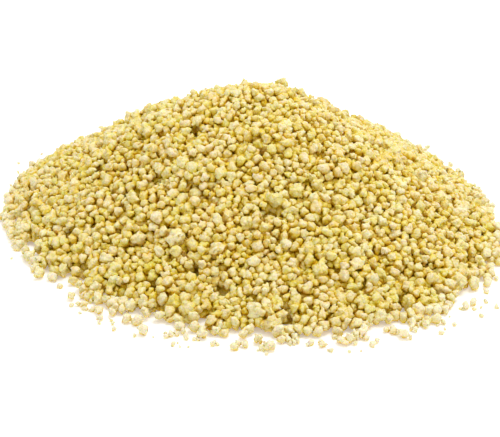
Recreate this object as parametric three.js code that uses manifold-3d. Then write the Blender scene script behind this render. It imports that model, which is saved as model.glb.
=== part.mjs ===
// A heap of dry couscous, as it lies when a small cupful is poured onto a table.
// Millimetres, +Z up. The table is Z = 0, the origin is under the middle of the heap, and -Y is the front.
//
// The heap is one solid. Its envelope is a low cone with a rounded crown and a slightly lobed footprint.
// The grains are too fine to model one by one, so the surface is a bed of bumps of their size: each bump
// is a grain's top, and the creases between bumps lie on the lines halfway between neighbouring grains.
// The largest clumps of grains stand proud of that bed and are fused to it.

import * as THREE from "three";
import { mergeVertices } from "three/addons/utils/BufferGeometryUtils.js";
import Module from "manifold-3d";

// Driving dimensions.
const HEAP_RADIUS = 47.4; // mean radius of the footprint
const HEAP_HEIGHT = 25.4; // the crown above the table
const RIM_HEIGHT = 1.3; // a single grain lying at the rim
const CROWN_ROUNDING = 0.24; // how far the crown is rounded, as a share of the radius
const CROWN_OFFSET = new THREE.Vector2(-1.7, 3.6); // where the crown stands over the footprint
const FOOTPRINT_LOBES = [
  { waves: 2, depth: 2, heading: -35 },
  { waves: 3, depth: 1.3, heading: 72 },
  { waves: 4, depth: 0.8, heading: -18 },
];
const SWELLS = [
  { length: 27, height: 0.4, heading: 15 },
  { length: 17, height: 0.3, heading: 100 },
  { length: 10, height: 0.22, heading: 152 },
];

// The bed of grains.
const GRAIN_COUNT = 1430; // bumps on the slope, without those along the rim
const GRAIN_STRAY = 0.7; // how far a grain lies from its even place
const CREASE_DEPTH = 1.15; // how deep the creases lie under the bumps
const RELIEF_SPREAD = 0.45; // how unevenly high the bumps stand
const CREASE_FLOOR = 0.2; // the lowest crease above the table

// The grains along the rim. Each has a blunt bulge in the outline, with a notch to either side.
const RIM_GRAINS = 124;
const RIM_GRAIN_INSET = 1.2; // how far its top stands inside the footprint's line
const RIM_BULGE = { reach: 0.6, width: 1.1 }; // how far its bulge reaches outside that line, and its width
const RIM_NOTCH = 0.6; // how far the notches cut inside that line
const RIM_STRAY = 0.8; // how far it lies in, out or along from its even place

// The clumps fused to the bed.
const CLUMP_COUNT = 16;
const CLUMP_DIAMETERS = { smallest: 2.0, largest: 2.9 };
const CLUMP_SQUASH = 0.25; // how far a clump is from round, as a share of its diameter
const CLUMP_SINK = 0.12; // how far its middle lies under the tops of the bumps, in diameters
const CLUMP_REST = 0.45; // how high its middle lies over the table at least, in diameters
const CLUMP_TURN = 30; // how far a clump strays round the heap from its even place, in degrees
const OUTERMOST_CLUMP = 0.98; // the share of the way to the rim where the last clump lies

const GOLDEN_ANGLE = Math.PI * (3 - Math.sqrt(5));
const SEED = 20;
const SAME_POINT = 1e-4; // corners nearer to each other than this are one

const { degToRad, lerp, seededRandom } = THREE.MathUtils;

/** The next random number, from -1 to 1. */
function randomSigned() {
  return 2 * seededRandom() - 1;
}

/** The footprint's radius in the direction of an angle. */
function footprintRadius(angle) {
  return FOOTPRINT_LOBES.reduce(
    (radius, { waves, depth, heading }) =>
      radius + depth * Math.cos(waves * (angle - degToRad(heading))),
    HEAP_RADIUS,
  );
}

/** The point of the plan that lies a share of the way from under the crown to the rim. */
function planPoint(share, angle) {
  const radius = footprintRadius(angle);
  const rim = new THREE.Vector2(Math.cos(angle), Math.sin(angle)).multiplyScalar(radius);
  return CROWN_OFFSET.clone().lerp(rim, share);
}

/** The share of the way from crown to rim at which a point of the plan lies. */
function shareAt(point) {
  const fromCrown = point.clone().sub(CROWN_OFFSET);
  let share = fromCrown.length() / HEAP_RADIUS;
  for (let pass = 0; pass < 4; pass += 1) {
    const towardsRim = fromCrown.clone().divideScalar(Math.max(share, 1e-6)).add(CROWN_OFFSET);
    share *= towardsRim.length() / footprintRadius(towardsRim.angle());
  }
  return share;
}

/** How far gentle swells raise the surface at a point of the plan. */
function swellAt(point) {
  return SWELLS.reduce((rise, { length, height, heading }) => {
    const along = point.x * Math.cos(degToRad(heading)) + point.y * Math.sin(degToRad(heading));
    return rise + height * Math.sin((2 * Math.PI * along) / length);
  }, 0);
}

/** The height of the heap's envelope, over the tops of the grains. */
function envelopeHeight(point) {
  const share = Math.min(shareAt(point), 1);
  const fall =
    (Math.hypot(share, CROWN_ROUNDING) - CROWN_ROUNDING) /
    (Math.hypot(1, CROWN_ROUNDING) - CROWN_ROUNDING);
  return lerp(HEAP_HEIGHT, RIM_HEIGHT, fall) + swellAt(point) * (1 - share);
}

/** Grains spread evenly over the plan, in a sunflower spiral from which each strays a little. */
function slopeGrains() {
  const rimSpacing = (2 * Math.PI * HEAP_RADIUS) / RIM_GRAINS;
  const outermost = 1 - (RIM_GRAIN_INSET + rimSpacing / 2) / HEAP_RADIUS;
  return Array.from({ length: GRAIN_COUNT }, (_, i) => {
    const share = outermost * Math.sqrt((i + 0.5) / GRAIN_COUNT);
    const stray = new THREE.Vector2(randomSigned(), randomSigned()).multiplyScalar(GRAIN_STRAY);
    return planPoint(share, i * GOLDEN_ANGLE).add(stray);
  });
}

/** The grains along the rim, and the corners of the outline round them. */
function rimGrains() {
  const tops = [];
  const outline = [];
  const spacing = (2 * Math.PI * HEAP_RADIUS) / RIM_GRAINS;
  // A place along the rim is a length of its arc, and a place across it a distance out of its line.
  const rimPoint = (along, outwards) => planPoint(1 + outwards / HEAP_RADIUS, along / HEAP_RADIUS);
  for (let i = 0; i < RIM_GRAINS; i += 1) {
    const along = i * spacing + RIM_STRAY * randomSigned();
    const stray = RIM_STRAY * randomSigned();
    tops.push(rimPoint(along, stray - RIM_GRAIN_INSET));
    [-0.5, 0.5].forEach((side) => {
      outline.push(rimPoint(along + side * RIM_BULGE.width, stray + RIM_BULGE.reach));
    });
    outline.push(rimPoint((i + 0.5) * spacing, stray - RIM_NOTCH));
  }
  return { tops, outline };
}

/** The circle through three points of the plan, as its centre and squared radius. */
function circumcircle(a, b, c) {
  const ab = b.clone().sub(a);
  const ac = c.clone().sub(a);
  const d = 2 * ab.cross(ac);
  const offset = new THREE.Vector2(
    (ac.y * ab.lengthSq() - ab.y * ac.lengthSq()) / d,
    (ab.x * ac.lengthSq() - ac.x * ab.lengthSq()) / d,
  );
  return { centre: offset.clone().add(a), radiusSq: offset.lengthSq() };
}

/** Delaunay triangulation: adds the points in turn, and remakes the triangles whose circle holds each. */
function triangulate(points) {
  // Three far corners make the first triangle, which holds all the points. They go again at the end.
  const farAway = 20;
  const corners = [0, 1, 2].map((k) => planPoint(farAway, (k * 2 * Math.PI) / 3));
  const all = [...points, ...corners];
  const made = (i, j, k) => ({ ids: [i, j, k], ...circumcircle(all[i], all[j], all[k]) });
  let triangles = [made(points.length, points.length + 1, points.length + 2)];
  points.forEach((point, id) => {
    const edges = new Map();
    triangles = triangles.filter(({ ids, centre, radiusSq }) => {
      if (centre.distanceToSquared(point) >= radiusSq) return true;
      ids.forEach((from, n) => {
        const to = ids[(n + 1) % 3];
        // An edge met from both sides lies inside the hole, and goes.
        if (!edges.delete(`${to} ${from}`)) edges.set(`${from} ${to}`, [from, to]);
      });
      return false;
    });
    edges.forEach(([from, to]) => triangles.push(made(from, to, id)));
  });
  return triangles.map(({ ids }) => ids).filter((ids) => ids.every((i) => i < points.length));
}

/** The closed bed of bumps: its slope, and the flat base under it. */
function bedGeometry() {
  const rim = rimGrains();
  const grains = [...slopeGrains(), ...rim.tops];
  const plan = [...grains, ...rim.outline];
  const isGrain = (i) => i < grains.length;
  const vertices = plan.map((point, i) => {
    const height = envelopeHeight(point) + RELIEF_SPREAD * (randomSigned() - 0.5);
    return [point.x, point.y, isGrain(i) ? Math.max(height, RIM_HEIGHT / 2) : 0];
  });

  // The triangles with a grain at a corner fill the outline. The others bridge its notches, and go.
  const triangles = triangulate(plan).filter((ids) => ids.some(isGrain));

  // A triangle between grains has a crease in the middle. One on the outer side of a rim grain is flat.
  const creaseOf = triangles.map((ids) => {
    const middle = new THREE.Vector2();
    ids.forEach((i) => middle.addScaledVector(plan[i], 1 / 3));
    const outer = ids.filter(isGrain).length === 1;
    const meanHeight = ids.reduce((sum, i) => sum + vertices[i][2] / 3, 0);
    const height = outer ? meanHeight : envelopeHeight(middle) - CREASE_DEPTH;
    return vertices.push([middle.x, middle.y, Math.max(height, CREASE_FLOOR)]) - 1;
  });

  // Between two neighbouring grains an edge runs from crease to crease, with a facet of each beside it.
  const facets = [];
  const open = new Map();
  triangles.forEach((ids, t) => {
    ids.forEach((from, n) => {
      const to = ids[(n + 1) % 3];
      const other = open.get(`${to} ${from}`);
      if (other === undefined) {
        open.set(`${from} ${to}`, creaseOf[t]);
        return;
      }
      open.delete(`${to} ${from}`);
      facets.push([from, other, creaseOf[t]], [to, creaseOf[t], other]);
    });
  });
  // What is left open is the rim: one facet down to the table, and one of the base.
  const middle = vertices.push([CROWN_OFFSET.x, CROWN_OFFSET.y, 0]) - 1;
  open.forEach((crease, edge) => {
    const [from, to] = edge.split(" ").map(Number);
    facets.push([from, to, crease], [to, from, middle]);
  });

  return new THREE.BufferGeometry()
    .setAttribute("position", new THREE.Float32BufferAttribute(vertices.flat(), 3))
    .setIndex(facets.flat());
}

/** A clump: a many-sided lump, squashed and turned at random. */
function clumpGeometry(diameter) {
  const stretch = () => 1 + CLUMP_SQUASH * randomSigned();
  return new THREE.IcosahedronGeometry(diameter / 2, 0)
    .scale(stretch(), stretch(), stretch())
    .rotateX(Math.PI * randomSigned())
    .rotateZ(Math.PI * randomSigned());
}

/** The clumps in their places, spread evenly from the crown to the rim. */
function clumpGeometries() {
  return Array.from({ length: CLUMP_COUNT }, (_, i) => {
    const share = OUTERMOST_CLUMP * Math.sqrt((i + 0.5) / CLUMP_COUNT);
    const point = planPoint(share, i * GOLDEN_ANGLE + degToRad(CLUMP_TURN) * randomSigned());
    const { smallest, largest } = CLUMP_DIAMETERS;
    const diameter = lerp(smallest, largest, seededRandom());
    const height = envelopeHeight(point) - CLUMP_SINK * diameter;
    return clumpGeometry(diameter).translate(point.x, point.y, Math.max(height, CLUMP_REST * diameter));
  });
}

/** A closed geometry as a solid that can be joined and cut. */
function solidOf(wasm, geometry) {
  const bare = geometry.clone();
  ["normal", "uv"].forEach((name) => bare.deleteAttribute(name));
  const merged = mergeVertices(bare, SAME_POINT);
  return new wasm.Manifold(
    new wasm.Mesh({
      numProp: 3,
      vertProperties: merged.getAttribute("position").array,
      triVerts: new Uint32Array(merged.index.array),
    }),
  );
}

/** A solid as a flat-shaded geometry. */
function geometryOf(solid) {
  const { vertProperties, triVerts } = solid.getMesh();
  const geometry = new THREE.BufferGeometry()
    .setAttribute("position", new THREE.BufferAttribute(vertProperties, 3))
    .setIndex(new THREE.BufferAttribute(triVerts, 1))
    .toNonIndexed();
  geometry.computeVertexNormals();
  return geometry;
}

const wasm = await Module();
wasm.setup();
seededRandom(SEED);

const bed = solidOf(wasm, bedGeometry());
const tableTop = new THREE.BoxGeometry(4 * HEAP_RADIUS, 4 * HEAP_RADIUS, HEAP_HEIGHT);
tableTop.translate(0, 0, -HEAP_HEIGHT / 2);
const heap = clumpGeometries()
  .reduce((joined, clump) => joined.add(solidOf(wasm, clump)), bed)
  .subtract(solidOf(wasm, tableTop));

const heapGeometry = geometryOf(heap);
heapGeometry.computeBoundingBox();
const middle = heapGeometry.boundingBox.getCenter(new THREE.Vector3());
heapGeometry.translate(-middle.x, -middle.y, 0);

const couscousMaterial = new THREE.MeshStandardMaterial({
  color: new THREE.Color(0.86, 0.76, 0.46),
  roughness: 0.8,
  metalness: 0,
  flatShading: true,
});

const couscousHeap = new THREE.Mesh(heapGeometry, couscousMaterial);
couscousHeap.name = "couscous_heap";

const part = new THREE.Group();
part.add(couscousHeap);
export default part;
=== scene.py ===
"""A heap of dry couscous, as it lies when a small cupful is poured onto a table.

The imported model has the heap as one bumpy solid. Here the real thing stands in its place: a core with
relief of the grains' size, and over it thousands of grains, settled against each other and sorted by
kind into one mesh for each kind. Metres, +Z up. The table is Z = 0, and -Y is the front.
"""

import logging
import math
from dataclasses import dataclass, field, replace
from enum import Enum

import bmesh
import bpy
import numpy as np
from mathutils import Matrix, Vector


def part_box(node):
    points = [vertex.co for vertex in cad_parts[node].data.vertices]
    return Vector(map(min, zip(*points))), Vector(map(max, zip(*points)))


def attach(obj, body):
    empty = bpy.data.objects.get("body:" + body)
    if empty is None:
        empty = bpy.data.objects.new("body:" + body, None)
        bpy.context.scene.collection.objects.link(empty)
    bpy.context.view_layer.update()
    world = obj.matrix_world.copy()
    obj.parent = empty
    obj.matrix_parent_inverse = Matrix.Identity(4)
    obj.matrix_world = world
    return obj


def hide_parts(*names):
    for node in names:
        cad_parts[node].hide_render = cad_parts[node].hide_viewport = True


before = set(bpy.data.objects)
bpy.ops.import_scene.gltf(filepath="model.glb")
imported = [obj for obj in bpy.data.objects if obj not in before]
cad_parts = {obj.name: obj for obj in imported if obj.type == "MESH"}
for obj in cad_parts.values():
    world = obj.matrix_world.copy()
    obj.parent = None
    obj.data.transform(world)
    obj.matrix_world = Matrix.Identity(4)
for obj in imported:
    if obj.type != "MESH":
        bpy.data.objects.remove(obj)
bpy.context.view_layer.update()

MM = 0.001
HEAP_NODE = "couscous_heap"
BODY = "root"

# How thick the layer of loose grains over the core is.
LAYER = 3.6 * MM
# The seeds of the random draws for the grains' places and for their shapes.
POUR_SEED = 11
SHAPE_SEED = 12
# How many seeds there are for strewing a grain's corners.
CORNER_SEEDS = 10000
# The least share of the way and the least distance that anything is divided by.
LEAST_SHARE = 1e-6
LEAST_DISTANCE = 1e-9
# The attribute that tells the finish how warm, pale and shaded a grain is, and its middle value.
TONE = "grain_tone"
MIDDLE_TONE = 0.5

log = logging.getLogger("couscous")


# --------------------------------------------------------------------------------------------------
# The heap's form
# --------------------------------------------------------------------------------------------------


@dataclass(frozen=True)
class Lobe:
    """One wave round the heap: of the footprint's radius, or of the slope's height.

    Attributes:
        waves: How many times it rises and falls in one turn.
        depth: How far it rises, in metres.
        heading: Where its first crest lies, in degrees.
    """

    waves: int
    depth: float
    heading: float


@dataclass(frozen=True)
class Swell:
    """One gentle wave that runs over the slope.

    Attributes:
        length: From crest to crest, in metres.
        height: How far it rises, in metres.
        heading: The way it runs, in degrees.
    """

    length: float
    height: float
    heading: float


@dataclass(frozen=True)
class HeapForm:
    """The heap's envelope: a low cone with a rounded crown, over a slightly lobed footprint.

    Attributes:
        radius: The footprint's mean radius.
        height: The crown above the table.
        rim_height: The envelope's height over the rim.
        crown_rounding: How far the crown is rounded, as a share of the radius.
        crown: Where the crown stands over the footprint, before the form is centred.
        lobes: The waves of the footprint's radius.
        swells: The waves over the slope.
        centre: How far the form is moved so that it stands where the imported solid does.
        guesses: How many times share() betters its first guess.
    """

    radius: float = 47.4 * MM
    height: float = 25.4 * MM
    rim_height: float = 1.3 * MM
    crown_rounding: float = 0.24
    crown: tuple[float, float] = (-1.7 * MM, 3.6 * MM)
    lobes: tuple[Lobe, ...] = (
        Lobe(2, 2 * MM, -35),
        Lobe(3, 1.3 * MM, 72),
        Lobe(4, 0.8 * MM, -18),
    )
    swells: tuple[Swell, ...] = (
        Swell(27 * MM, 0.4 * MM, 15),
        Swell(17 * MM, 0.3 * MM, 100),
        Swell(10 * MM, 0.22 * MM, 152),
    )
    centre: tuple[float, float] = (0.0, 0.0)
    guesses: int = 4

    def footprint_radius(self, angle: np.ndarray) -> np.ndarray:
        """The footprint's radius.

        Args:
            angle: Directions from the footprint's middle, in radians.

        Returns:
            The radius in each direction.
        """
        radius = np.full_like(angle, self.radius)
        for lobe in self.lobes:
            radius += lobe.depth * np.cos(lobe.waves * (angle - math.radians(lobe.heading)))
        return radius

    def plan(self, share: np.ndarray, angle: np.ndarray) -> np.ndarray:
        """Points of the plan.

        Args:
            share: How far along the way from under the crown to the rim each point lies.
            angle: The directions of the rim's points, in radians.

        Returns:
            One row of X and Y for each point.
        """
        radius = self.footprint_radius(angle)
        rim = np.column_stack((radius * np.cos(angle), radius * np.sin(angle)))
        crown = np.array(self.crown)
        return crown + share[:, None] * (rim - crown) + np.array(self.centre)

    def share(self, plan: np.ndarray) -> np.ndarray:
        """How far along the way from under the crown to the rim points of the plan lie.

        Args:
            plan: One row of X and Y for each point.

        Returns:
            The share of the way, over 1 outside the rim.
        """
        crown = np.array(self.crown)
        from_crown = plan - np.array(self.centre) - crown
        share = np.linalg.norm(from_crown, axis=1) / self.radius
        for _ in range(self.guesses):
            rim = from_crown / np.maximum(share, LEAST_SHARE)[:, None] + crown
            angle = np.arctan2(rim[:, 1], rim[:, 0])
            share = share * np.linalg.norm(rim, axis=1) / self.footprint_radius(angle)
        return share

    def surface(self, plan: np.ndarray) -> np.ndarray:
        """The envelope's height.

        Args:
            plan: One row of X and Y for each point.

        Returns:
            The height over the table at each point.
        """
        share = np.minimum(self.share(plan), 1)
        rounding = self.crown_rounding
        fall = (np.hypot(share, rounding) - rounding) / (math.hypot(1, rounding) - rounding)
        swell = np.zeros_like(share)
        at = plan - np.array(self.centre)
        for wave in self.swells:
            heading = math.radians(wave.heading)
            along = at[:, 0] * math.cos(heading) + at[:, 1] * math.sin(heading)
            swell += wave.height * np.sin(2 * math.pi * along / wave.length)
        return self.height + fall * (self.rim_height - self.height) + swell * (1 - share)

    def normals(self, plan: np.ndarray, step: float = 0.5 * MM) -> np.ndarray:
        """The envelope's outward normals.

        Args:
            plan: One row of X and Y for each point.
            step: The distance over which the slope is taken.

        Returns:
            One row of X, Y and Z for each point.
        """
        slopes = [
            (self.surface(plan + offset) - self.surface(plan - offset)) / (2 * step)
            for offset in (np.array((step, 0.0)), np.array((0.0, step)))
        ]
        normals = np.column_stack((-slopes[0], -slopes[1], np.ones(len(plan))))
        return normals / np.linalg.norm(normals, axis=1)[:, None]

    def centred_on(self, low: Vector, high: Vector, points: int = 720) -> "HeapForm":
        """This form, moved so that its footprint's box has the same middle as another box.

        Args:
            low: The box's lowest corner.
            high: The box's highest corner.
            points: How many points of the rim are taken.

        Returns:
            The moved form.
        """
        angle = np.linspace(0, 2 * math.pi, points, endpoint=False)
        rim = self.plan(np.ones_like(angle), angle) - np.array(self.centre)
        middle = (rim.min(axis=0) + rim.max(axis=0)) / 2
        centre = np.array((low.x + high.x, low.y + high.y)) / 2 - middle
        return replace(self, centre=(float(centre[0]), float(centre[1])))

    def core(self, thickness: float) -> "HeapForm":
        """The form that is left under a layer of grains.

        Args:
            thickness: The layer's thickness, straight through it.

        Returns:
            The smaller form, which stands on the table with a sharp edge.
        """
        slope = math.atan2(self.height - self.rim_height, self.radius * (1 - self.crown_rounding / 2))
        lower = thickness / math.cos(slope)
        inset = (lower - self.rim_height) / math.tan(slope)
        return replace(self, radius=self.radius - inset, height=self.height - lower, rim_height=0.0)


# --------------------------------------------------------------------------------------------------
# The grains' places
# --------------------------------------------------------------------------------------------------


class GrainKind(Enum):
    """The kinds of grain in the heap. Each kind is one piece."""

    ROUND = "round_grains"
    KNOBBLY = "knobbly_grains"
    ANGULAR = "angular_grains"
    LONG = "long_grains"
    TWIN = "twin_grains"
    CLUMP = "grain_clumps"
    FINE = "fine_grains"
    CRUMB = "crumbs"


@dataclass
class Pour:
    """The poured grains, as balls that are pulled down onto the core and settle against each other.

    Attributes:
        form: The heap's envelope.
        core: The core that the grains lie on.
        rng: The source of all that is random.
        usual: A usual grain's diameter.
        spread: How widely the diameters vary, as the spread of their logarithm.
        smallest: The least diameter.
        largest: The greatest diameter of a single grain.
        clump_share: The share of the places that hold a clump of grains.
        clump_sizes: The least and greatest diameter of a clump.
        filling: The share of the layer's room that is filled.
        room_samples: How many places the layer's room is measured at.
        surplus: How many times more grains are drawn than are usually needed to fill it.
        stray_count: How many grains are strewn loose round the rim, before pits take some away.
        stray_sizes: Their least and greatest diameter, in usual grains.
        stray_reach: How far from the rim they lie at most.
        crumb_count: How many crumbs are strewn there, before pits take some away.
        crumb_sizes: The least and greatest diameter of a crumb.
        crumb_reach: How far from the rim the crumbs lie at most.
        thinning: How far out the loose grains and crumbs mostly lie, as a share of their reach.
        front_share: The share of them that is strewn over the front, besides those strewn all round.
        front_heading: The middle of the front, in half turns from +X.
        front_width: How far the front goes to each side of it, in half turns.
        rim_play: How far outside the rim the layer's grains may reach, least and greatest, in millimetres.
        proud: How far grains stand over the envelope, least and greatest, as shares of their radius.
        proud_fade: The power by which that fades towards the rim.
        runs: The low ridges and furrows down the slope, which grains leave as they roll.
        bend: How far the runs turn on their way down, in radians.
        pull: How far a grain sinks in each step.
        steps: How many steps the grains sink for.
        rests: How many steps they then only part for.
        near: How far apart two grains may be and count as neighbours.
        refresh: After how many steps the neighbours are found again.
        give: How much of a cut between two grains one step mends.
        ease: How much of what stands too high one step presses down.
    """

    form: HeapForm
    core: HeapForm
    rng: np.random.Generator
    usual: float = 1.5 * MM
    spread: float = 0.17
    smallest: float = 1.05 * MM
    largest: float = 2.2 * MM
    clump_share: float = 0.03
    clump_sizes: tuple[float, float] = (2.2 * MM, 3.0 * MM)
    filling: float = 0.52
    room_samples: int = 20000
    surplus: int = 3
    stray_count: int = 90
    stray_sizes: tuple[float, float] = (0.69, 1.1)
    stray_reach: float = 3.2 * MM
    crumb_count: int = 300
    crumb_sizes: tuple[float, float] = (0.3 * MM, 0.95 * MM)
    crumb_reach: float = 4.5 * MM
    thinning: float = 0.45
    front_share: float = 0.6
    front_heading: float = -0.52
    front_width: float = 0.33
    rim_play: tuple[float, float] = (-1.7, 0.3)
    proud: tuple[float, float] = (-1.6, 0.9)
    proud_fade: int = 3
    runs: tuple[Lobe, ...] = (
        Lobe(17, 0.6 * MM, 5),
        Lobe(29, 0.7 * MM, 41),
        Lobe(43, 0.5 * MM, 2),
    )
    bend: float = 0.1
    pull: float = 0.03 * MM
    steps: int = 110
    rests: int = 25
    near: float = 0.3 * MM
    refresh: int = 5
    give: float = 0.42
    ease: float = 0.5
    places: np.ndarray = field(init=False)
    radii: np.ndarray = field(init=False)
    limits: np.ndarray = field(init=False)
    slack: np.ndarray = field(init=False)

    def room_under(self, plan: np.ndarray) -> tuple[np.ndarray, np.ndarray]:
        """The heights at points of the plan where the room for the layer's grains starts and ends."""
        low = np.where(self.core.share(plan) < 1, self.core.surface(plan), 0)
        return low, self.form.surface(plan)

    def strewn(self, count: int) -> np.ndarray:
        """Places strewn evenly over the footprint, one row of X and Y for each."""
        share = np.sqrt(self.rng.random(count))
        return self.form.plan(share, self.rng.random(count) * 2 * math.pi)

    def layer_radii(self) -> np.ndarray:
        """The radii of the grains that fill the layer between the core and the envelope.

        Returns:
            The radii, as many as the layer's room takes.
        """
        low, high = self.room_under(self.strewn(self.room_samples))
        room = math.pi * self.form.radius**2 * float(np.mean(high - low))
        usual_volume = math.pi / 6 * self.usual**3
        most = int(self.surplus * self.filling * room / usual_volume)
        diameters = self.usual * np.exp(self.spread * self.rng.standard_normal(most))
        diameters = np.clip(diameters, self.smallest, self.largest)
        clump = self.rng.random(most) < self.clump_share
        diameters[clump] = self.rng.uniform(*self.clump_sizes, int(clump.sum()))
        filled = np.cumsum(math.pi / 6 * diameters**3)
        return diameters[: int(np.searchsorted(filled, self.filling * room))] / 2

    def loose_radii(self) -> np.ndarray:
        """The radii of the loose grains and then of the crumbs."""
        strays = self.usual / 2 * self.rng.uniform(*self.stray_sizes, self.stray_count)
        return np.concatenate((strays, self.rng.uniform(*self.crumb_sizes, self.crumb_count) / 2))

    def layer_places(self, count: int) -> np.ndarray:
        """First places for the layer's grains, anywhere between the core and the envelope.

        Args:
            count: How many grains the layer has.

        Returns:
            One row of X, Y and Z for each grain.
        """
        plan = self.strewn(count)
        low, high = self.room_under(plan)
        return np.column_stack((plan, low + (high - low) * self.rng.random(count)))

    def loose_places(self, radii: np.ndarray) -> tuple[np.ndarray, np.ndarray]:
        """First places for the loose grains and crumbs, on the table round the rim.

        Args:
            radii: Their radii.

        Returns:
            One row of X, Y and Z for each, and how far out each lies, as a share of the way to the rim.
        """
        count = len(radii)
        reach = np.repeat((self.stray_reach, self.crumb_reach), (self.stray_count, self.crumb_count))
        outwards = np.minimum(np.abs(self.rng.standard_normal(count)) * self.thinning, 1) * reach
        beyond = 1 + outwards / self.form.radius
        angles = self.rng.random(count) * 2 * math.pi
        front = self.rng.random(count) < self.front_share
        half_turns = self.rng.uniform(-self.front_width, self.front_width, int(front.sum()))
        angles[front] = (half_turns + self.front_heading) * math.pi
        return np.column_stack((self.form.plan(beyond, angles), radii)), beyond

    def scatter(self) -> None:
        """Puts the grains in their first places: over the core, and loose round the rim."""
        layer = self.layer_radii()
        loose = self.loose_radii()
        self.radii = np.concatenate((layer, loose))
        layer_places = self.layer_places(len(layer))
        loose_places, beyond = self.loose_places(loose)
        self.places = np.vstack((layer_places, loose_places))
        ragged = 1 + self.rng.uniform(*self.rim_play, len(layer)) * MM / self.form.radius
        self.limits = np.concatenate((ragged, beyond))

    def neighbours(self, reach: float) -> tuple[np.ndarray, np.ndarray]:
        """The pairs of grains that are near each other.

        Args:
            reach: How far apart two surfaces may be at most.

        Returns:
            The first and the second grain of each pair.
        """
        size = 2 * float(self.radii.max()) + reach
        cells = np.floor((self.places - self.places.min(axis=0)) / size).astype(np.int64) + 1
        spans = cells.max(axis=0) + 2
        keys = (cells[:, 0] * spans[1] + cells[:, 1]) * spans[2] + cells[:, 2]
        order = np.argsort(keys, kind="stable")
        ranked = keys[order]
        firsts, seconds = [], []
        for x in (-1, 0, 1):
            for y in (-1, 0, 1):
                for z in (-1, 0, 1):
                    wanted = keys + (x * spans[1] + y) * spans[2] + z
                    low = np.searchsorted(ranked, wanted, "left")
                    counts = np.searchsorted(ranked, wanted, "right") - low
                    first = np.repeat(np.arange(len(keys)), counts)
                    ramp = np.arange(counts.sum()) - np.repeat(np.cumsum(counts) - counts, counts)
                    second = order[np.repeat(low, counts) + ramp]
                    keep = first < second
                    firsts.append(first[keep])
                    seconds.append(second[keep])
        first, second = np.concatenate(firsts), np.concatenate(seconds)
        gaps = np.linalg.norm(self.places[first] - self.places[second], axis=1)
        near = gaps < self.radii[first] + self.radii[second] + reach
        return first[near], second[near]

    def part(self, first: np.ndarray, second: np.ndarray) -> float:
        """Moves grains apart that cut into each other.

        Args:
            first: The first grain of each near pair.
            second: The second grain of each near pair.

        Returns:
            The mean depth of the cuts before the move.
        """
        between = self.places[second] - self.places[first]
        distance = np.maximum(np.linalg.norm(between, axis=1), LEAST_DISTANCE)
        cut = self.radii[first] + self.radii[second] - distance
        touching = cut > 0
        first, second, cut = first[touching], second[touching], cut[touching]
        push = between[touching] / distance[touching][:, None] * (self.give * cut)[:, None]
        # The smaller grain gives way more.
        weights = self.radii[first] ** 3 / (self.radii[first] ** 3 + self.radii[second] ** 3)
        for axis in range(3):
            back = np.bincount(first, push[:, axis] * (1 - weights), len(self.radii))
            forth = np.bincount(second, push[:, axis] * weights, len(self.radii))
            self.places[:, axis] += forth - back
        return float(cut.mean()) if len(cut) else 0.0

    def run_height(self, plan: np.ndarray, share: np.ndarray) -> np.ndarray:
        """The height of the ridges and furrows, which bend a little on their way down.

        Args:
            plan: One row of X and Y for each point.
            share: How far along the way to the rim each point lies.

        Returns:
            How far the surface stands over the envelope at each point.
        """
        away = plan - np.array(self.form.crown) - np.array(self.form.centre)
        angle = np.arctan2(away[:, 1], away[:, 0])
        height = np.zeros_like(angle)
        for run in self.runs:
            turn = run.waves * (angle - math.radians(run.heading)) + run.waves * self.bend * share
            height += run.depth * np.cos(turn)
        # The runs are deepest half way down, and fade out at the crown and at the rim.
        inner = np.minimum(share, 1)
        return height * 4 * inner * (1 - inner)

    def confine(self) -> None:
        """Keeps the grains over the core and the table, under the envelope and inside the rim."""
        plan = self.places[:, :2]
        share = self.form.share(plan)
        outside = share > self.limits
        middle = np.array(self.form.crown) + np.array(self.form.centre)
        inwards = (self.limits / np.maximum(share, LEAST_SHARE))[:, None]
        plan[outside] = (middle + (plan - middle) * inwards)[outside]
        normals = self.form.normals(plan)
        surface = self.form.surface(plan) + self.run_height(plan, share)
        over = (self.places[:, 2] - surface) * normals[:, 2] + self.radii
        high = np.maximum(over - self.slack * (1 - np.minimum(share, 1) ** self.proud_fade), 0)
        self.places -= normals * (self.ease * high)[:, None]
        inside = self.core.share(plan) < 1
        under = (self.places[:, 2] - self.core.surface(plan)) * normals[:, 2] - self.radii
        self.places += normals * np.where(inside, np.maximum(-under, 0), 0)[:, None]
        self.places[:, 2] = np.maximum(self.places[:, 2], self.radii)

    def depths(self) -> np.ndarray:
        """How deep the grains' middles lie under the envelope, straight into the heap."""
        plan = self.places[:, :2]
        return (self.form.surface(plan) - self.places[:, 2]) * self.form.normals(plan)[:, 2]

    def settle(self) -> None:
        """Lets the grains sink and part until they lie against each other."""
        self.scatter()
        self.slack = self.rng.uniform(*self.proud, len(self.radii)) * self.radii
        cut = 0.0
        for step in range(self.steps + self.rests):
            if step % self.refresh == 0:
                first, second = self.neighbours(self.near)
            if step < self.steps:
                self.places -= self.form.normals(self.places[:, :2]) * self.pull
            cut = self.part(first, second)
            self.confine()
        log.info("settled %d grains, which cut %.3f mm into each other", len(self.radii), cut / MM)


# --------------------------------------------------------------------------------------------------
# The grains' shapes
# --------------------------------------------------------------------------------------------------


def deselect_all() -> None:
    """Leaves nothing selected."""
    bpy.ops.object.select_all(action="DESELECT")


def finish_modifier(piece: bpy.types.Object, kind: str, **settings: object) -> None:
    """Adds one modifier to a piece and applies it.

    Args:
        piece: The piece.
        kind: The modifier's type.
        settings: What is set on the modifier.
    """
    modifier = piece.modifiers.new(kind.lower(), kind)
    for name, value in settings.items():
        setattr(modifier, name, value)
    bpy.ops.object.modifier_apply(modifier=modifier.name)


def edit_all() -> None:
    """Opens the active piece in edit mode with all of it selected."""
    bpy.ops.object.mode_set(mode="EDIT")
    bpy.ops.mesh.select_all(action="SELECT")


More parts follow.
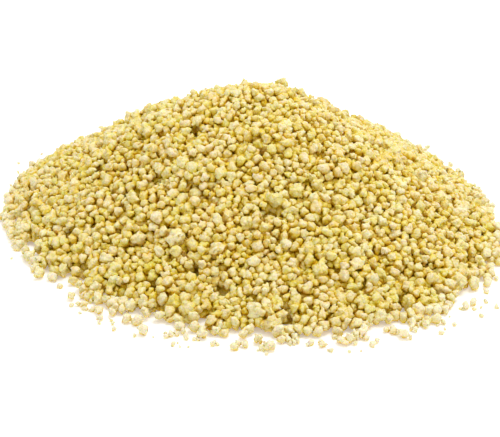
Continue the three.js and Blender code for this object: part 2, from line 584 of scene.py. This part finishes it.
def leave_edit() -> None:
    """Goes back to object mode."""
    bpy.ops.object.mode_set(mode="OBJECT")


def set_tones(mesh: bpy.types.Mesh, tones: np.ndarray) -> None:
    """Gives a mesh the tones that the finish reads: for each corner its warmth, paleness and shade."""
    tone = mesh.attributes.new(TONE, "FLOAT_VECTOR", "POINT")
    tone.data.foreach_set("vector", tones.astype(np.float32).ravel())


@dataclass(frozen=True)
class GrainPattern:
    """How the grains of one kind are modelled. Lengths are rough shares of a grain's radius.

    Attributes:
        kind: The kind of grain.
        variants: How many different ones are modelled.
        lumps: How many lumps a grain is stuck together from, besides those along its length.
        lump_sizes: Their radii, least and greatest.
        reach: How far their middles lie from the main lump's middle, least and greatest.
        mains: The main lumps along the grain, as their places and radii.
        main_splits: How finely the main lumps are modelled.
        lump_splits: How finely the other lumps are modelled.
        flats: How many sides are broken flat.
        cuts: How far from the middle those sides lie, least and greatest.
        stretch: How far a grain is stretched along its length.
        skin: The size of the faces with which the lumps are joined.
        rounding: How far the joined shape is smoothed.
        raggedness: How far its corners are strewn at the end.
        outwards: How much of that is straight in or out.
        faces: How many triangles a grain has.
        paleness: How much paler the grains are than others.
    """

    kind: GrainKind
    variants: int
    lumps: int
    lump_sizes: tuple[float, float]
    reach: tuple[float, float] = (0.45, 0.75)
    mains: tuple[tuple[float, float], ...] = ((0.0, 0.7),)
    main_splits: int = 3
    lump_splits: int = 2
    flats: int = 0
    cuts: tuple[float, float] = (0.72, 0.95)
    stretch: float = 1.0
    skin: float = 0.11
    rounding: float = 0.5
    raggedness: float = 0.17
    outwards: float = 0.7
    faces: int = 84
    paleness: float = 0.0

    def add_main(self, main: tuple[float, float]) -> None:
        """Adds one of the main lumps."""
        place = (main[0], 0, 0)
        bpy.ops.mesh.primitive_ico_sphere_add(subdivisions=self.main_splits, radius=main[1], location=place)

    def stick(self, rng: np.random.Generator) -> bpy.types.Object:
        """Sticks a grain together from lumps.

        Args:
            rng: The source of all that is random.

        Returns:
            The grain, with one skin over all its lumps.
        """
        deselect_all()
        self.add_main(self.mains[0])
        grain = bpy.context.object
        bpy.ops.object.transform_apply(location=True, rotation=True, scale=True)
        bpy.ops.object.mode_set(mode="EDIT")
        for main in self.mains[1:]:
            self.add_main(main)
        for _ in range(self.lumps):
            along, _ = self.mains[int(rng.integers(len(self.mains)))]
            way = rng.standard_normal(3)
            way *= rng.uniform(*self.reach) / np.linalg.norm(way)
            size = rng.uniform(*self.lump_sizes)
            place = (along + way[0], way[1], way[2])
            bpy.ops.mesh.primitive_ico_sphere_add(subdivisions=self.lump_splits, radius=size, location=place)
        bpy.ops.mesh.select_all(action="SELECT")
        bpy.ops.transform.resize(value=(self.stretch, 1, 1), center_override=(0, 0, 0))
        leave_edit()
        finish_modifier(grain, "REMESH", mode="VOXEL", voxel_size=self.skin)
        return grain

    def break_sides(self, rng: np.random.Generator) -> None:
        """Breaks sides of the active grain flat.

        Args:
            rng: The source of all that is random.
        """
        bpy.ops.object.mode_set(mode="EDIT")
        for _ in range(self.flats):
            way = rng.standard_normal(3)
            way /= np.linalg.norm(way)
            bpy.ops.mesh.select_all(action="SELECT")
            side = way * rng.uniform(*self.cuts)
            bpy.ops.mesh.bisect(plane_co=side, plane_no=way, use_fill=True, clear_outer=True)
        leave_edit()

    def roughen(self, grain: bpy.types.Object, rng: np.random.Generator) -> None:
        """Smooths a grain a little, thins it to few faces and strews its corners.

        Args:
            grain: The grain.
            rng: The source of all that is random.
        """
        finish_modifier(grain, "SMOOTH", factor=self.rounding, iterations=1)
        finish_modifier(grain, "TRIANGULATE")
        finish_modifier(grain, "DECIMATE", ratio=min(1.0, self.faces / len(grain.data.polygons)))
        edit_all()
        seed = int(rng.integers(CORNER_SEEDS))
        bpy.ops.transform.vertex_random(offset=self.raggedness, normal=self.outwards, seed=seed)
        leave_edit()

    def model(self, rng: np.random.Generator) -> tuple[np.ndarray, np.ndarray]:
        """Models one grain.

        Args:
            rng: The source of all that is random.

        Returns:
            The grain's points, one row each, at the size of a ball of radius 1, and its triangles.
        """
        grain = self.stick(rng)
        self.break_sides(rng)
        self.roughen(grain, rng)
        points = np.zeros(len(grain.data.vertices) * 3)
        grain.data.vertices.foreach_get("co", points)
        points = points.reshape(-1, 3)
        triangles = np.array([tuple(face.vertices) for face in grain.data.polygons])
        bpy.data.objects.remove(grain)
        corners = points[triangles]
        volume = np.einsum("ij,ij->", corners[:, 0], np.cross(corners[:, 1], corners[:, 2])) / 6
        ball_radius = (3 * volume / (4 * math.pi)) ** (1 / 3)
        return (points - points.mean(axis=0)) / ball_radius, triangles


PATTERNS = (
    GrainPattern(
        GrainKind.ROUND, variants=16, lumps=8, lump_sizes=(0.3, 0.44), reach=(0.42, 0.58),
        mains=((0.0, 0.62),), faces=100,
    ),
    GrainPattern(
        GrainKind.KNOBBLY, variants=16, lumps=9, lump_sizes=(0.27, 0.4), reach=(0.5, 0.68),
        mains=((0.0, 0.54),), faces=112,
    ),
    GrainPattern(
        GrainKind.ANGULAR, variants=16, lumps=6, lump_sizes=(0.34, 0.5), reach=(0.4, 0.65),
        mains=((0.0, 0.6),), flats=5, faces=104,
    ),
    GrainPattern(
        GrainKind.LONG, variants=12, lumps=8, lump_sizes=(0.3, 0.44), reach=(0.4, 0.6),
        mains=((-0.16, 0.54), (0.2, 0.5)), stretch=1.15, flats=1, faces=124,
    ),
    GrainPattern(
        GrainKind.TWIN, variants=12, lumps=12, lump_sizes=(0.22, 0.34), reach=(0.26, 0.4),
        mains=((-0.46, 0.42), (0.44, 0.46)), faces=200,
    ),
    GrainPattern(
        GrainKind.CLUMP, variants=12, lumps=26, lump_sizes=(0.2, 0.32), reach=(0.52, 0.68),
        mains=((0.0, 0.62),), faces=300,
    ),
    GrainPattern(GrainKind.FINE, variants=8, lumps=4, lump_sizes=(0.35, 0.55), flats=3, faces=60),
    GrainPattern(
        GrainKind.CRUMB, variants=6, lumps=2, lump_sizes=(0.4, 0.6), flats=5, cuts=(0.4, 0.8), faces=28,
        paleness=1.6,
    ),
)
SINGLE_KINDS = (GrainKind.ROUND, GrainKind.KNOBBLY, GrainKind.ANGULAR, GrainKind.LONG)


@dataclass
class Grains:
    """All the grains, sorted by kind and made into one mesh for each kind.

    Attributes:
        pour: The settled balls that the grains fill.
        rng: The source of all that is random.
        crumb_under: Pieces under this diameter are crumbs.
        fine_under: Grains under this diameter are fines.
        twin_share: The share of the grains that are one half of a twin.
        twin_gap: How far apart the halves of a twin may be.
        shares: How often a single grain is round, knobbly, angular or long.
        swelling: How much wider a grain is than its ball.
        scatter: How far it is squeezed or stretched along each of its axes, least and greatest.
        top_depth: How deep a grain's middle may lie and be on top, in usual grains.
        pit_count: How many pits there are, on the slope and among the loose grains and crumbs.
        pit_reaches: How far round its middle a pit leaves out the grains, least and greatest.
        pit_depth: How deep its middle lies under the middle of the grain above.
        pit_furrow: How much lower the surface is where pits are nearly three times as common.
        rim_painted_light: How much paler and less shaded the grains at the rim's edge are painted, as
            painted light from the table.
        rim_light_start: How far along the way to the rim that painted light on the grains starts.
    """

    pour: Pour
    rng: np.random.Generator
    crumb_under: float = 1.04 * MM
    fine_under: float = 1.2 * MM
    twin_share: float = 0.06
    twin_gap: float = 0.02 * MM
    shares: tuple[float, float, float, float] = (0.36, 0.34, 0.22, 0.08)
    swelling: float = 1.06
    scatter: tuple[float, float] = (0.84, 1.16)
    top_depth: float = 0.75
    pit_count: int = 360
    pit_reaches: tuple[float, float] = (0.85 * MM, 1.6 * MM)
    pit_depth: float = 0.7 * MM
    pit_furrow: float = 0.45 * MM
    rim_painted_light: float = 0.9
    rim_light_start: float = 0.93

    def sort(self) -> dict[GrainKind, np.ndarray]:
        """Decides which kind each ball is.

        Returns:
            For each kind, one row for each grain: its place, its length's direction and its radius.
        """
        pour, rng = self.pour, self.rng
        count = len(pour.radii)
        diameters = 2 * pour.radii
        directions = rng.standard_normal((count, 3))
        kinds = rng.choice(np.array(SINGLE_KINDS, dtype=object), count, p=self.shares)
        kinds[diameters < self.fine_under] = GrainKind.FINE
        kinds[diameters > pour.largest] = GrainKind.CLUMP
        kinds[diameters < self.crumb_under] = GrainKind.CRUMB
        kept = ~self.pitted()
        rows = np.column_stack((pour.places, directions, pour.radii))
        twins = self.twins(kept & np.isin(kinds, np.array(SINGLE_KINDS, dtype=object)))
        first, second = twins[:, 0], twins[:, 1]
        axis = pour.places[second] - pour.places[first]
        middle = (pour.places[first] + pour.places[second]) / 2
        both = np.cbrt(pour.radii[first] ** 3 + pour.radii[second] ** 3)
        kept[twins.ravel()] = False
        sorted_rows = {kind: rows[kept & (kinds == kind)] for kind in GrainKind}
        sorted_rows[GrainKind.TWIN] = np.column_stack((middle, axis, both))
        return sorted_rows

    def pitted(self) -> np.ndarray:
        """Finds the grains and crumbs that are missing, so that the heap has pits and its rim is uneven.

        Returns:
            Whether each ball is left out.
        """
        pour = self.pour
        single = 2 * pour.radii < pour.largest
        tops = np.flatnonzero(single & (pour.depths() < self.top_depth * pour.usual))
        plan = pour.places[tops, :2]
        likely = np.exp(-pour.run_height(plan, pour.form.share(plan)) / self.pit_furrow)
        chosen = self.rng.choice(tops, self.pit_count, replace=False, p=likely / likely.sum())
        middles = pour.places[chosen]
        middles = middles - pour.form.normals(middles[:, :2]) * self.pit_depth
        reaches = self.rng.uniform(*self.pit_reaches, self.pit_count)
        apart = np.linalg.norm(pour.places[:, None] - middles[None], axis=2)
        return single & (apart < reaches).any(axis=1)

    def twins(self, free: np.ndarray) -> np.ndarray:
        """Picks touching pairs of single grains to stick together.

        Args:
            free: Whether each ball is a single grain that may be half of a twin.

        Returns:
            One row of two balls for each twin.
        """
        first, second = self.pour.neighbours(self.twin_gap)
        free = free.copy()
        picked = []
        wanted = int(self.twin_share * len(free) / 2)
        for pair in self.rng.permutation(len(first)):
            one, other = int(first[pair]), int(second[pair])
            if free[one] and free[other]:
                free[one] = free[other] = False
                picked.append((one, other))
            if len(picked) == wanted:
                break
        return np.array(picked, dtype=int).reshape(-1, 2)

    def turned(self, directions: np.ndarray) -> np.ndarray:
        """Turns for grains whose length lies in given directions, each rolled at random.

        Args:
            directions: One row of X, Y and Z for each grain.

        Returns:
            One matrix for each grain, whose columns are the grain's own axes.
        """
        length = directions / np.linalg.norm(directions, axis=1)[:, None]
        side = np.cross(length, self.rng.standard_normal(length.shape))
        side /= np.linalg.norm(side, axis=1)[:, None]
        return np.stack((length, side, np.cross(length, side)), axis=2)

    def piece(self, pattern: GrainPattern, rows: np.ndarray) -> bpy.types.Object:
        """Makes one mesh of all the grains of a kind.

        Args:
            pattern: How the kind is modelled.
            rows: One row for each grain, as sort gives them.

        Returns:
            The piece.
        """
        models = [pattern.model(self.rng) for _ in range(pattern.variants)]
        chosen = self.rng.integers(pattern.variants, size=len(rows))
        turns = self.turned(rows[:, 3:6])
        scales = rows[:, 6:7] * self.swelling * self.rng.uniform(*self.scatter, (len(rows), 3))
        tones = self.rng.random((len(rows), 3))
        # Painted light: grains near the rim's edge are painted paler and less shaded, as if lit through by
        # the white table.
        rim_light_share = (self.pour.form.share(rows[:, :2]) - self.rim_light_start) / (1 - self.rim_light_start)
        tones[:, 1:] += pattern.paleness + self.rim_painted_light * np.clip(rim_light_share, 0, 1)[:, None]
        points, triangles, colours = [], [], []
        start = 0
        for variant, (model_points, model_triangles) in enumerate(models):
            mine = np.flatnonzero(chosen == variant)
            shaped = model_points[None, :, :] * scales[mine][:, None, :]
            placed = np.einsum("nij,nvj->nvi", turns[mine], shaped) + rows[mine, None, :3]
            # What would reach under the table is lifted onto it.
            placed[:, :, 2] += np.maximum(-placed[:, :, 2].min(axis=1), 0)[:, None]
            points.append(placed.reshape(-1, 3))
            first = start + len(model_points) * np.arange(len(mine))
            triangles.append((model_triangles[None, :, :] + first[:, None, None]).reshape(-1, 3))
            colours.append(np.repeat(tones[mine], len(model_points), axis=0))
            start += len(model_points) * len(mine)
        mesh = bpy.data.meshes.new(pattern.kind.value)
        mesh.from_pydata(np.vstack(points).tolist(), [], np.vstack(triangles).tolist())
        mesh.shade_smooth()
        set_tones(mesh, np.vstack(colours))
        piece = bpy.data.objects.new(pattern.kind.value, mesh)
        bpy.context.scene.collection.objects.link(piece)
        return piece

    def build(self) -> list[bpy.types.Object]:
        """Makes the pieces, one for each kind."""
        sorted_rows = self.sort()
        return [self.piece(pattern, sorted_rows[pattern.kind]) for pattern in PATTERNS]


@dataclass
class Core:
    """What lies under the loose grains: the heap's inside, whose surface has relief of the grains' size.

    Attributes:
        form: The core's form.
        rings: How many rings lead from the edge up to the crown.
        corners: How many corners each ring has.
        tip: How wide the last ring is, as a share of the first.
        directions: In how many directions a ring's height is measured, each a radian from the last.
        fineness: The size of the mesh's faces.
        grain: The relief's grain size.
        relief: How deep the relief is.
        relief_middle: How much of it stands out of the form.
        underside: How high over the table the underside is cut.
    """

    form: HeapForm
    rings: int = 20
    corners: int = 120
    tip: float = 0.04
    directions: int = 90
    fineness: float = 0.55 * MM
    grain: float = 1.6 * MM
    relief: float = 0.9 * MM
    relief_middle: float = 0.3
    underside: float = 0.05 * MM

    def ring_height(self, share: float) -> float:
        """The form's mean height along a ring that is as wide as a share of the rim."""
        plan = self.form.plan(np.full(self.directions, share), np.arange(float(self.directions)))
        return float(self.form.surface(plan).mean())

    def draw_up(self) -> bpy.types.Object:
        """Models the form from a ring on the table, drawn up and in towards the crown step by step.

        Returns:
            The smooth core.
        """
        deselect_all()
        bpy.ops.mesh.primitive_circle_add(vertices=self.corners, radius=self.form.radius, fill_type="NGON")
        core = bpy.context.object
        core.name = core.data.name = "grain_core"
        angles = np.arange(self.corners) * 2 * math.pi / self.corners
        rim = self.form.plan(np.ones(self.corners), angles)
        for vertex, (x, y) in zip(core.data.vertices, rim):
            vertex.co = (x, y, 0)
        edit_all()
        crown = np.array(self.form.crown) + np.array(self.form.centre)
        shares = np.linspace(1, self.tip, self.rings)
        heights = [self.ring_height(share) for share in shares]
        for ring in range(1, self.rings):
            shrink = shares[ring] / shares[ring - 1]
            rise = heights[ring] - heights[ring - 1]
            bpy.ops.mesh.extrude_region_move(TRANSFORM_OT_translate={"value": (0, 0, rise)})
            bpy.ops.transform.resize(value=(shrink, shrink, 1), center_override=(*crown, 0))
        bpy.ops.mesh.select_all(action="SELECT")
        bpy.ops.mesh.normals_make_consistent(inside=False)
        leave_edit()
        return core

    def build(self) -> bpy.types.Object:
        """Models the core and its relief.

        Returns:
            The piece.
        """
        core = self.draw_up()
        finish_modifier(core, "REMESH", mode="VOXEL", voxel_size=self.fineness)
        bumps = bpy.data.textures.new("grain_bumps", "VORONOI")
        bumps.noise_scale = self.grain
        bumps.noise_intensity = 1.0
        finish_modifier(
            core,
            "DISPLACE",
            texture=bumps,
            texture_coords="LOCAL",
            strength=-self.relief,
            mid_level=self.relief_middle,
        )
        edit_all()
        # The cut counts points up to 0.1 mm from it as lying on it, so the underside is flat only to that.
        table = (0, 0, self.underside)
        bpy.ops.mesh.bisect(plane_co=table, plane_no=(0, 0, -1), use_fill=True, clear_outer=True)
        leave_edit()
        finish_modifier(core, "TRIANGULATE")
        core.data.shade_smooth()
        set_tones(core.data, np.full((len(core.data.vertices), 3), MIDDLE_TONE))
        return core


# --------------------------------------------------------------------------------------------------
# Finishes
# --------------------------------------------------------------------------------------------------


Colour = tuple[float, float, float, float]
WHITE = (1.0, 1.0, 1.0, 1.0)


class Value:
    """What comes out of a socket of a shader. Arithmetic on numbers adds Math nodes."""

    def __init__(self, shader: "Shader", socket: bpy.types.NodeSocket) -> None:
        """Wraps an output socket of a shader."""
        self.shader = shader
        self.socket = socket

    def maths(self, operation: str, first: object, second: object) -> "Value":
        """The result of a Math node's operation on two values or numbers."""
        return self.shader.node("ShaderNodeMath", {"operation": operation}, {0: first, 1: second})

    def __add__(self, other: object) -> "Value":
        """This value plus another."""
        return self.maths("ADD", self, other)

    def __sub__(self, other: object) -> "Value":
        """This value less another."""
        return self.maths("SUBTRACT", self, other)

    def __mul__(self, other: object) -> "Value":
        """This value times another."""
        return self.maths("MULTIPLY", self, other)


class Shader:
    """A material whose nodes are added one by one."""

    def __init__(self, name: str) -> None:
        """Starts the material with its Principled shader.

        Args:
            name: The material's name.
        """
        self.material = bpy.data.materials.new(name)
        self.material.use_nodes = True
        self.tree = self.material.node_tree
        self.surface = self.tree.nodes["Principled BSDF"]

    def node(self, kind: str, settings: dict, inputs: dict, output: int | str = 0) -> Value:
        """Adds one node.

        Args:
            kind: The node's type.
            settings: What is set on the node first.
            inputs: The number, colour, vector or link for each input socket, by name or index.
            output: The output socket that is wanted, by name or index.

        Returns:
            The value on that output.
        """
        made = self.tree.nodes.new(kind)
        for name, value in settings.items():
            setattr(made, name, value)
        self.feed(made, inputs)
        return Value(self, made.outputs[output])

    def feed(self, node: bpy.types.Node, inputs: dict) -> None:
        """Sets or links inputs of a node.

        Args:
            node: The node.
            inputs: The number, colour, vector or link for each input socket, by name or index.
        """
        for name, value in inputs.items():
            if isinstance(value, Value):
                self.tree.links.new(value.socket, node.inputs[name])
            else:
                node.inputs[name].default_value = value

    def ramp(self, value: Value, stops: tuple[tuple[float, Colour], ...]) -> Value:
        """Turns a value from 0 to 1 into a colour.

        Args:
            value: The value.
            stops: The place and the colour of each stop.

        Returns:
            The colour.
        """
        ramp = self.node("ShaderNodeValToRGB", {}, {0: value})
        elements = ramp.socket.node.color_ramp.elements
        # A new ramp has two stops.
        for place, _ in stops[2:]:
            elements.new(place)
        for element, (place, colour) in zip(elements, stops):
            element.position = place
            element.color = colour
        return ramp

    def apart(self, vector: Value) -> list[Value]:
        """The three numbers of a vector."""
        numbers = self.node("ShaderNodeSeparateXYZ", {}, {0: vector}).socket.node.outputs
        return [Value(self, number) for number in numbers]

    def mixed(self, share: object, first: object, second: object, blend: str = "MIX") -> Value:
        """Mixes two colours.

        Args:
            share: How much of the second colour there is.
            first: The first colour.
            second: The second colour.
            blend: The way of mixing.

        Returns:
            The mixed colour.
        """
        settings = {"data_type": "RGBA", "blend_type": blend, "clamp_factor": True}
        # The node's first inputs and outputs are for numbers and vectors, and those after them for colours.
        return self.node("ShaderNodeMix", settings, {0: share, 6: first, 7: second}, 2)

    def between(self, value: Value, low: float, high: float) -> Value:
        """Spreads the values between two bounds over 0 to 1, and holds them within that."""
        return self.node("ShaderNodeMapRange", {"clamp": True}, {0: value, 1: low, 2: high})

    def noise(self, place: Value, size: float, detail: float = 2.0) -> Value:
        """Smooth noise about 0.5, with patches of a size and a number of finer layers."""
        return self.node("ShaderNodeTexNoise", {}, {"Vector": place, "Scale": 1 / size, "Detail": detail})


@dataclass(frozen=True)
class CouscousFinish:
    """Dry couscous: matt pale yellow semolina, a little see-through, with lemon and peach grains among it.

    Attributes:
        depths: Painted shade: the colours from the darker, more ochre shut-in gaps out to the paler open
            tops, each at its place from shut in (0) to open (1).
        lemon: The tint of the greenest grains.
        peach: The tint of the reddest grains.
        cream: The colour of the palest specks, which show most on the open tops, as painted light.
        speck: The size of the specks.
        speck_noise: The noise where a speck starts, and where it is palest.
        paling: How much further the specks spread on the palest grains.
        crag: The size of the bits of semolina that a grain is stuck together from.
        crag_depth: How deep the creases between them are.
        grit: How high the specks stand, as a share of that depth.
        crease: How far from a bit's middle the painted shade of a crease starts and ends, in bits.
        crease_waver: How far noise moves the creases, in bits.
        painted_crease_shade: How much painted shade darkens a crease, on the scale from shut in to open.
        grain_shade: How much darker some grains are than others, as openness.
        shade_gap: How far the painted shade looks round each point for what shuts it in.
        shade_gap_rays: How many ways each point is looked at for that painted shade.
        roughness: How matt the surface is.
        gloss: How strongly it reflects.
        glow: How much light passes through the surface.
        depth: How deep it passes.
        reach: How deep red, green and blue light pass, as shares of that depth.
    """

    depths: tuple[tuple[float, Colour], ...] = (
        (0.0, (0.74, 0.44, 0.003, 1)),
        (0.3, (0.83, 0.61, 0.018, 1)),
        (0.6, (0.855, 0.71, 0.125, 1)),
        (1.0, (0.83, 0.745, 0.52, 1)),
    )
    lemon: Colour = (0.97, 1.0, 0.84, 1)
    peach: Colour = (1.0, 0.925, 0.86, 1)
    cream: Colour = (0.94, 0.855, 0.61, 1)
    speck: float = 0.6 * MM
    speck_noise: tuple[float, float] = (0.55, 1.0)
    paling: float = 0.3
    crag: float = 0.62 * MM
    crag_depth: float = 0.3 * MM
    grit: float = 0.6
    crease: tuple[float, float] = (0.45, 0.9)
    crease_waver: float = 0.3
    painted_crease_shade: float = 0.19
    grain_shade: float = 0.15
    shade_gap: float = 1.8 * MM
    shade_gap_rays: int = 4
    roughness: float = 0.7
    gloss: float = 0.05
    glow: float = 0.5
    depth: float = 0.35 * MM
    reach: tuple[float, float, float] = (1.0, 0.7, 0.25)

    def material(self) -> bpy.types.Material:
        """Builds the material.

        Returns:
            The material.
        """
        shader = Shader("couscous")
        place = shader.node("ShaderNodeTexCoord", {}, {}, "Object")
        tone = shader.node("ShaderNodeAttribute", {"attribute_name": TONE}, {}, "Vector")
        warmth, paleness, shade = shader.apart(tone)
        # Painted shade: ambient occlusion picks the colour, so shut-in gaps are painted darker and more
        # ochre, and open tops paler.
        rays = {"samples": self.shade_gap_rays}
        painted_openness = shader.node("ShaderNodeAmbientOcclusion", rays, {"Distance": self.shade_gap}, "AO")
        fine = shader.noise(place, self.speck)
        bits = shader.node("ShaderNodeTexVoronoi", {}, {"Vector": place, "Scale": 1 / self.crag}, "Distance")
        # Painted shade: the creases between the bits are painted darker and more ochre, over the bump's own
        # creases.
        crease = shader.between(bits + fine * self.crease_waver, *self.crease)
        shading = (shade - MIDDLE_TONE) * self.grain_shade
        base = shader.ramp(painted_openness + shading - crease * self.painted_crease_shade, self.depths)
        tint = shader.mixed(warmth, self.lemon, self.peach)
        base = shader.mixed(1.0, base, tint, "MULTIPLY")
        pale = shader.between(fine + paleness * self.paling, *self.speck_noise)
        # The specks are the semolina's own; weighing them by how open the surface is also paints the open
        # tops paler, as painted light.
        base = shader.mixed(pale * painted_openness, base, self.cream)
        relief = {"Strength": 1.0, "Distance": self.crag_depth, "Height": fine * self.grit - bits}
        shader.feed(shader.surface, {
            "Base Color": base,
            "Roughness": self.roughness,
            "Normal": shader.node("ShaderNodeBump", {}, relief),
            "Specular IOR Level": self.gloss,
            "Subsurface Weight": self.glow,
            "Subsurface Radius": self.reach,
            "Subsurface Scale": self.depth,
        })
        return shader.material


@dataclass(frozen=True)
class TableFinish:
    """A plain white table top, lit a little from inside, as a table for photographs is.

    Attributes:
        colour: Its colour.
        roughness: How matt it is.
        glow: How strongly it is lit from inside.
    """

    colour: Colour = (0.9, 0.9, 0.9, 1)
    roughness: float = 0.9
    glow: float = 0.3

    def material(self) -> bpy.types.Material:
        """Builds the material.

        Returns:
            The material.
        """
        shader = Shader("table")
        shader.feed(shader.surface, {
            "Base Color": self.colour,
            "Roughness": self.roughness,
            "Specular IOR Level": 0.0,
            "Emission Color": self.colour,
            "Emission Strength": self.glow,
        })
        return shader.material


# --------------------------------------------------------------------------------------------------
# The studio
# --------------------------------------------------------------------------------------------------


@dataclass
class Studio:
    """The table, the light and the camera.

    Attributes:
        unit: The length from which distances are taken, about the heap's radius.
        table_size: The table's width, in units.
        sweep: The radius of the curve with which its far side sweeps up, as a share of that width.
        sweep_segments: How many faces the curve has.
        sky: How bright the sky is.
        lamp_way: The direction of the lamp from the heap.
        lamp_distance: How far away it stands, in units.
        lamp_size: How wide it is, in units.
        lamp_power: How strong it is, in watts.
        elevation: How far the camera looks down at the heap, in degrees.
        distance: How far it stands, in units.
        look_height: The height of the point it stands round, in units.
        image: The image's width and height, in pixels.
        focal_length: The lens's focal length, in pixels.
        look_row: The image row where that point shows, in pixels.
        sensor: The sensor's width, in millimetres.
        nearest: The nearest that the camera sees.
    """

    unit: float = 48 * MM
    table_size: float = 40.0
    sweep: float = 0.2
    sweep_segments: int = 12
    sky: float = 0.79
    lamp_way: tuple[float, float, float] = (0.22, 0.05, 1.0)
    lamp_distance: float = 10.0
    lamp_size: float = 5.0
    lamp_power: float = 1.3
    elevation: float = 26.0
    distance: float = 6.0
    look_height: float = 0.25
    image: tuple[int, int] = (500, 437)
    focal_length: float = 1480.7
    look_row: float = 156.4
    sensor: float = 36.0
    nearest: float = 10 * MM

    def build_table(self) -> bpy.types.Object:
        """Makes the table top, whose far side sweeps up.

        Returns:
            The table top.
        """
        deselect_all()
        size = self.table_size * self.unit
        bpy.ops.mesh.primitive_plane_add(size=size)
        table = bpy.context.object
        table.name = table.data.name = "table"
        bpy.ops.object.mode_set(mode="EDIT")
        mesh = bmesh.from_edit_mesh(table.data)
        for edge in mesh.edges:
            edge.select = all(vertex.co.y > 0 for vertex in edge.verts)
        mesh.select_flush_mode()
        bmesh.update_edit_mesh(table.data)
        bpy.ops.mesh.extrude_edges_move(TRANSFORM_OT_translate={"value": (0, 0, size / 2)})
        leave_edit()
        bend = {"width": self.sweep * size, "segments": self.sweep_segments, "limit_method": "ANGLE"}
        finish_modifier(table, "BEVEL", **bend)
        table.data.shade_smooth()
        table.data.materials.append(TableFinish().material())
        return table

    def light(self) -> None:
        """Sets an even white sky, and a large soft lamp high over the heap, a little to its right."""
        world = bpy.data.worlds.new("sky")
        bpy.context.scene.world = world
        world.use_nodes = True
        background = world.node_tree.nodes["Background"]
        background.inputs["Color"].default_value = WHITE
        background.inputs["Strength"].default_value = self.sky
        place = Vector(self.lamp_way) * self.lamp_distance * self.unit
        bpy.ops.object.light_add(type="AREA", location=place)
        lamp = bpy.context.object
        lamp.name = "soft_lamp"
        lamp.rotation_euler = (-place).to_track_quat("-Z", "Y").to_euler()
        lamp.data.size = self.lamp_size * self.unit
        lamp.data.energy = self.lamp_power

    def aim_camera(self) -> None:
        """Puts the camera at the photograph's viewing angle."""
        elevation = math.radians(self.elevation)
        look = Vector((0, 0, self.look_height * self.unit))
        away = Vector((0, -math.cos(elevation), math.sin(elevation))) * self.distance * self.unit
        drop = math.atan((self.image[1] / 2 - self.look_row) / self.focal_length)
        pitch = math.pi / 2 - elevation - drop
        bpy.ops.object.camera_add(location=look + away, rotation=(pitch, 0, 0))
        camera = bpy.context.object
        camera.name = "camera"
        camera.data.sensor_width = self.sensor
        camera.data.lens = self.focal_length * self.sensor / self.image[0]
        camera.data.clip_start = self.nearest
        bpy.context.scene.camera = camera


def hand_over(piece: bpy.types.Object, material: bpy.types.Material) -> None:
    """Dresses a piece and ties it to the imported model.

    Args:
        piece: The piece.
        material: Its material.
    """
    piece.data.materials.append(material)
    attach(piece, BODY)
    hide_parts(HEAP_NODE)
    log.info("%s: %d faces", piece.name, len(piece.data.polygons))


def main() -> None:
    """Builds the heap, the table, the light and the camera."""
    logging.basicConfig(level=logging.INFO, format="%(message)s")
    bpy.context.scene.view_settings.view_transform = "Standard"
    form = HeapForm().centred_on(*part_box(HEAP_NODE))
    core_form = form.core(LAYER)
    studio = Studio()
    studio.aim_camera()
    studio.light()
    studio.build_table()
    couscous = CouscousFinish().material()
    hand_over(Core(core_form).build(), couscous)
    pour = Pour(form, core_form, np.random.default_rng(POUR_SEED))
    pour.settle()
    for piece in Grains(pour, np.random.default_rng(SHAPE_SEED)).build():
        hand_over(piece, couscous)
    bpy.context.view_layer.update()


if __name__ == "__main__":
    main()
